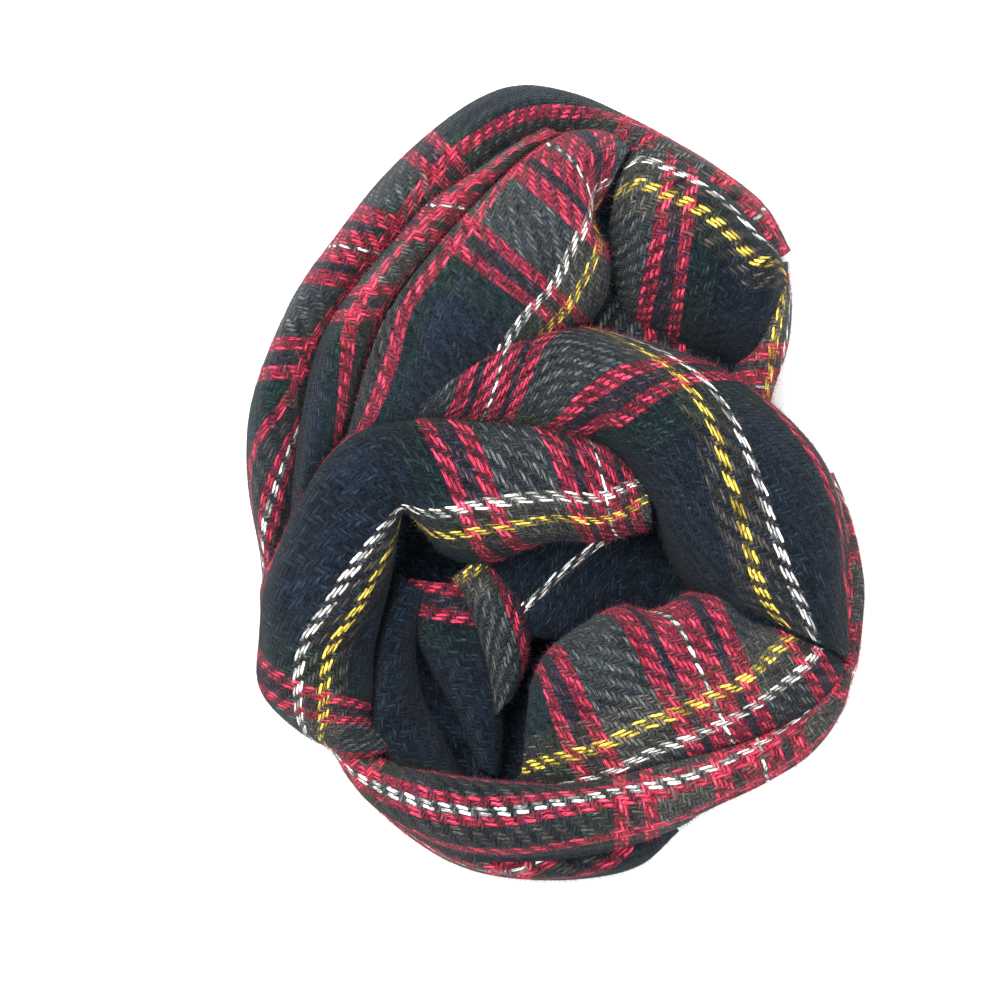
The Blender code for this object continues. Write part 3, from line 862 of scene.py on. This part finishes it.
backRightFold = {
    "name": "backRightFoldCloth",
    "node": "back_right_fold",
    "slot": "cloth_navy_with_lines",
    "held": "folded",
    "rates": (0.9, 1.1),
    "rows": [
        (33, 164, 26, 124, 72, 40, 40, 0.0, 29, 28, 0.0),
        (43, 168, 31, 92, 84, 42, 26, -0.3, 35, 40, 0.0),
        (56, 165, 41, 80, 91, 42, 22, -0.4, 44, 55, 0.0),
        (72, 155, 58, 71, 95, 42, 20, -0.4, 45, 76, -0.05),
        (88, 142, 72, 65, 94, 42, 20, -0.4, 43, 95, -0.05),
        (103, 125, 84, 61, 90, 42, 20, -0.4, 38, 114, 0.0),
        (113, 112, 90, 58, 84, 42, 20, -0.4, 20, 131, 0.0),
        (117, 103, 94, 55, 74, 42, 20, -0.3, 5, 143, 0.0),
    ],
    "creases": [
        (0.9, 60, 1.5, 130, -2.4, 5.0),
        (1.5, 56, 2.0, 128, 2.2, 6.0),
        (2.2, 70, 2.6, 140, -2.0, 6.0),
        (3.0, 60, 3.6, 120, 1.8, 9.0),
        (4.3, 64, 4.8, 120, -1.8, 9.0),
        (5.2, 30, 6.2, 60, 1.4, 8.0),
    ],
}

backRightSide = {
    "name": "backRightSideCloth",
    "node": "back_right_side",
    "slot": "cloth_red_band",
    "held": "folded",
    "rates": (1.0, 1.0),
    "rows": [
        (119, 112, 106, 104, 62, 2, 20, 0.0, 45, -66, 0.0),
        (121, 92, 98, 86, 72, 2, 20, 0.0, 52, -46, 0.0),
        (119, 70, 92, 66, 68, 2, 20, 0.0, 49, -24, 0.0),
        (114, 50, 86, 48, 60, 2, 20, 0.0, 36, -2, 0.0),
        (108, 30, 82, 28, 48, 14, 20, 0.0, 10, 20, 0.0),
    ],
    "creases": [
        (0.4, 22, 2.6, 30, -1.8, 6.0),
        (0.8, 44, 3.2, 40, 1.6, 7.0),
    ],
}

backMiddleFold = {
    "name": "backMiddleFoldCloth",
    "node": "back_middle_fold",
    "slot": "cloth_green_and_red",
    "held": "folded",
    "rates": (1.0, 1.0),
    "rows": [
        (-137, -54, -120, -51, 36, 18, 20, 0.0, 130, -227, 0.0),
        (-135, -24, -115, -16, 50, 20, 26, 0.0, 145, -193, 0.0),
        (-132, 5, -108, 11, 62, 28, 34, 0.0, 150, -160, 0.0),
        (-128, 31, -101, 35, 70, 32, 42, 0.0, 150, -129, 0.0),
        (-123, 56, -95, 57, 75, 36, 48, 0.0, 147, -103, 0.0),
        (-115, 77, -88, 78, 79, 38, 52, 0.0, 143, -78, 0.0),
        (-102, 96, -76, 97, 82, 40, 54, 0.0, 140, -56, 0.0),
        (-82, 118, -59, 117, 84, 42, 56, 0.0, 138, -27, 0.0),
        (-65, 137, -42, 135, 85, 44, 58, 0.0, 140, 0, 0.0),
        (-47, 150, -25, 153, 84, 46, 58, 0.0, 137, 23, 0.0),
        (-28, 164, -9, 166, 80, 44, 56, 0.0, 134, 46, 0.0),
        (-7, 178, 6, 171, 70, 40, 50, 0.0, 130, 70, 0.0),
    ],
    "creases": [
        (1.4, 24, 5.0, 28, -1.4, 5.0),
        (3.6, 50, 7.4, 46, 1.4, 6.0),
        (6.4, 22, 9.2, 30, 1.2, 6.0),
    ],
}

innerRidge = {
    "name": "innerRidgeCloth",
    "node": "inner_ridge",
    "slot": "cloth_navy_with_lines",
    "held": "folded",
    "rates": (1.0, 1.0),
    "turned": (14.0, 12.6),
    "rows": [
        (-52, -48, -37, -36, 52, 28, 28, 0.0, 84, 20, 0.0),
        (-45, -60, -24, -49, 58, 30, 28, 0.0, 88, 45, 0.0),
        (-39, -77, -15, -66, 59, 30, 26, 0.0, 105, 70, 0.0),
        (-34, -97, -13, -87, 53, 28, 24, 0.0, 120, 95, 0.0),
        (-32, -119, -20, -108, 42, 24, 24, 0.0, 120, 122, 0.0),
    ],
    "creases": [
        (0.6, 30, 2.8, 26, -1.6, 6.0),
        (1.2, 54, 3.4, 48, 1.6, 6.0),
    ],
}

innerLeftRoll = {
    "name": "innerLeftRollCloth",
    "node": "inner_left_roll",
    "slot": "cloth_navy_with_lines",
    "held": "folded",
    "rates": (1.0, 1.0),
    "rows": [
        (-80, -46, -64, -56, 48, 28, 28, 0.0, -36, 96, 0.0),
        (-88, -74, -70, -81, 52, 30, 26, -0.2, -36, 124, 0.0),
        (-92, -104, -67, -107, 54, 30, 24, -0.3, -36, 154, 0.0),
        (-92, -126, -56, -130, 53, 28, 22, -0.3, -36, 176, 0.0),
        (-82, -144, -46, -149, 46, 24, 20, -0.2, -36, 197, 0.0),
    ],
    "creases": [
        (0.6, 26, 3.2, 30, 1.5, 6.0),
        (1.0, 46, 3.6, 50, -1.7, 6.0),
    ],
}

innerMiddleRoll = {
    "name": "innerMiddleRollCloth",
    "node": "inner_middle_roll",
    "slot": "cloth_navy_with_lines",
    "held": "folded",
    "rates": (1.0, 1.0),
    "rows": [
        (-74, -49, -42, -52, 44, 24, 24, 0.0, -36, 55, 0.0),
        (-73, -71, -33, -78, 47, 24, 24, 0.0, -36, 80, 0.0),
        (-62, -96, -29, -102, 44, 24, 24, 0.0, -36, 105, 0.0),
        (-49, -119, -27, -123, 40, 22, 22, 0.0, -36, 129, 0.0),
        (-38, -146, -27, -149, 34, 20, 20, 0.0, -36, 157, 0.0),
    ],
    "creases": [
        (0.5, 24, 3.2, 22, -1.8, 6.0),
        (0.8, 44, 3.6, 40, 1.8, 6.0),
    ],
}

pitCloth = {
    "name": "pitCloth",
    "node": "pit_cloth",
    "slot": "cloth_navy_with_lines",
    "held": "laid",
    "rates": (1.0, 1.0),
    # painted shade: the deep pit beyond the white line takes dark navy in place of its yellow stripe
    "paintedShadeBand": (4.0, -34.0, -5.0),
    "rows": [
        (-42, -26, -27, -69, 46, 36, 36, 0.0, 55, 90, 0.0),
        (-12, -24, -7, -79, 43, 34, 32, 0.0, 37, 118, 0.0),
        (17, -19, 17, -79, 36, 28, 26, 0.0, 19, 145, 0.0),
        (47, -16, 42, -73, 27, 20, 20, 0.0, 5, 175, 0.0),
        (75, -41, 70, -70, 22, 16, 16, 0.0, 0, 205, 0.0),
    ],
    "creases": [
        (0.8, 20, 2.4, 40, -1.4, 6.0),
        (1.6, 46, 3.4, 30, 1.4, 7.0),
    ],
}

backOuterFold = {
    "name": "backOuterFoldCloth",
    "node": "back_outer_fold",
    "slot": "cloth_green_and_red",
    "held": "folded",
    "rates": (1.0, 1.0),
    "rows": [
        (-149, -75, -127, -70, 26, 2, 16, 0.0, 86, -203, 0.0),
        (-151, -39, -131, -33, 40, 2, 20, 0.0, 104, -167, 0.0),
        (-157, -9, -130, -3, 50, 2, 24, 0.0, 129, -134, 0.0),
        (-159, 17, -127, 21, 56, 2, 28, 0.0, 148, -107, 0.0),
        (-156, 43, -123, 46, 60, 2, 30, 0.0, 170, -82, 0.0),
        (-146, 71, -114, 72, 63, 2, 32, 0.0, 175, -55, 0.0),
        (-132, 99, -99, 95, 66, 2, 34, 0.0, 183, -26, 0.0),
        (-114, 123, -79, 116, 68, 2, 36, 0.0, 181, 5, 0.0),
        (-90, 153, -59, 135, 70, 2, 36, 0.0, 177, 40, 0.0),
        (-64, 178, -38, 149, 72, 2, 38, 0.0, 175, 74, 0.0),
        (-39, 196, -20, 162, 72, 2, 40, 0.0, 176, 110, 0.0),
        (-17, 203, -3, 170, 70, 2, 40, 0.0, 174, 145, 0.0),
        (10, 199, 12, 167, 66, 2, 38, 0.0, 165, 178, 0.0),
        (36, 189, 26, 156, 62, 2, 34, 0.0, 150, 207, 0.0),
        (62, 176, 44, 144, 60, 2, 30, 0.0, 142, 233, 0.0),
        (86, 161, 65, 131, 58, 2, 28, 0.0, 141, 257, 0.0),
        (109, 142, 84, 116, 54, 2, 24, 0.0, 140, 280, 0.0),
        (122, 119, 98, 101, 46, 2, 20, 0.0, 135, 300, 0.0),
    ],
    "creases": [
        (1.6, 30, 5.4, 36, -1.6, 7.0),
        (3.0, 60, 7.2, 64, 1.6, 7.0),
        (6.6, 34, 10.4, 42, 1.5, 9.0),
        (8.2, 70, 11.4, 62, -1.6, 6.0),
        (11.6, 28, 15.4, 34, -1.6, 6.0),
        (13.0, 56, 16.2, 50, 1.4, 6.0),
    ],
}

rightUnderFold = {
    "name": "rightUnderFoldCloth",
    "node": "right_under_fold",
    "slot": "cloth_red_band",
    "held": "folded",
    "rates": (1.0, 1.0),
    "rows": [
        (144, 6, 118, -6, 42, 2, 20, 0.0, 106, 180, 0.0),
        (154, -20, 124, -25, 52, 2, 20, 0.0, 106, 206, 0.0),
        (159, -47, 128, -49, 56, 2, 20, 0.0, 106, 233, 0.0),
        (158, -70, 128, -69, 55, 2, 20, 0.0, 106, 255, 0.0),
        (156, -94, 126, -84, 48, 2, 20, 0.0, 106, 277, 0.0),
        (148, -111, 124, -99, 38, 2, 20, 0.0, 106, 298, 0.0),
    ],
    "creases": [
        (0.8, 24, 3.4, 30, -1.6, 6.0),
        (1.8, 42, 4.2, 38, 1.5, 6.0),
    ],
}

frontUnderFold = {
    "name": "frontUnderFoldCloth",
    "node": "front_under_fold",
    "slot": "cloth_red_band",
    "held": "folded",
    "rates": (1.0, 1.0),
    "rows": [
        (-101, -157, -80, -146, 26, 2, 14, 0.0, 95, -25, 0.0),
        (-80, -178, -62, -158, 36, 2, 16, 0.0, 98, 5, 0.0),
        (-54, -195, -40, -171, 42, 2, 16, 0.0, 102, 35, 0.0),
        (-26, -203, -20, -177, 44, 2, 16, 0.0, 112, 63, 0.0),
        (11, -204, 7, -177, 44, 2, 16, 0.0, 132, 96, 0.0),
        (44, -197, 28, -170, 41, 2, 16, 0.0, 142, 124, 0.0),
        (65, -179, 44, -158, 32, 2, 14, 0.0, 148, 149, 0.0),
    ],
    "creases": [
        (1.0, 24, 4.2, 28, -1.4, 6.0),
        (2.2, 44, 5.2, 40, 1.3, 6.0),
    ],
}

hollowCloth = {
    "name": "hollowCloth",
    "node": "hollow_cloth",
    "slot": "cloth_navy_with_lines",
    "held": "laid",
    "rates": (1.0, 1.0),
    "rows": [
        (7, 91, 17, 36, 46, 34, 34, 0.0, -36, 20, 0.0),
        (32, 98, 42, 36, 42, 30, 30, 0.0, -36, 45, 0.0),
        (60, 93, 67, 31, 40, 28, 28, 0.0, -36, 72, 0.0),
        (90, 86, 95, 28, 42, 28, 28, 0.0, -36, 101, 0.0),
    ],
    "creases": [
        (0.6, 20, 2.4, 34, 1.6, 6.0),
        (1.2, 46, 2.8, 40, -1.6, 6.0),
    ],
}

stretches = [
    coilArch, coilSweep, coilFront, innerPanel, backInnerFold, backRightFold, backRightSide,
    backMiddleFold, innerRidge, innerLeftRoll, innerMiddleRoll, pitCloth, backOuterFold,
    rightUnderFold, frontUnderFold, hollowCloth,
]
for order, stretch in enumerate(stretches):
    makeStretch(stretch, order)


def makeHiddenLayers():
    # A copy of the solid that backs every stretch, made soft and drawn in a little, so
    # that the creases of the cloth over it stay clear of it.
    core = {"node": "hidden_layers", "weld": 0.01, "voxel": 4.0, "drawIn": 2.4, "flatBelow": 5.0}
    source = bpy.data.objects[core["node"]]
    item = bpy.data.objects.new("hiddenLayersCloth", source.data.copy())
    bpy.context.collection.objects.link(item)
    weld = item.modifiers.new("weld", "WELD")
    weld.merge_threshold = core["weld"] * mm
    soften = item.modifiers.new("soften", "REMESH")
    soften.mode = "VOXEL"
    soften.voxel_size = core["voxel"] * mm
    bpy.context.view_layer.update()
    evaluated = item.evaluated_get(bpy.context.evaluated_depsgraph_get())
    mesh = bpy.data.meshes.new_from_object(evaluated)
    item.modifiers.clear()
    item.data = mesh
    count = len(mesh.vertices)
    places = np.empty(count * 3)
    normals = np.empty(count * 3)
    mesh.vertices.foreach_get("co", places)
    mesh.vertices.foreach_get("normal", normals)
    places = places.reshape(-1, 3)
    normals = normals.reshape(-1, 3)
    share = np.clip(places[:, 2:3] / (core["flatBelow"] * mm) - 1.0, 0.0, 1.0)
    places -= normals * share * core["drawIn"] * mm
    places[:, 2] = np.maximum(places[:, 2], 0.0)
    mesh.vertices.foreach_set("co", places.ravel())
    mesh.materials.clear()
    mesh.materials.append(cloths["cloth_hidden"])
    mesh.shade_smooth()
    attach(item, "root")
    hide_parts(core["node"])
    print("hidden layers made:", len(mesh.polygons), "faces")


makeHiddenLayers()
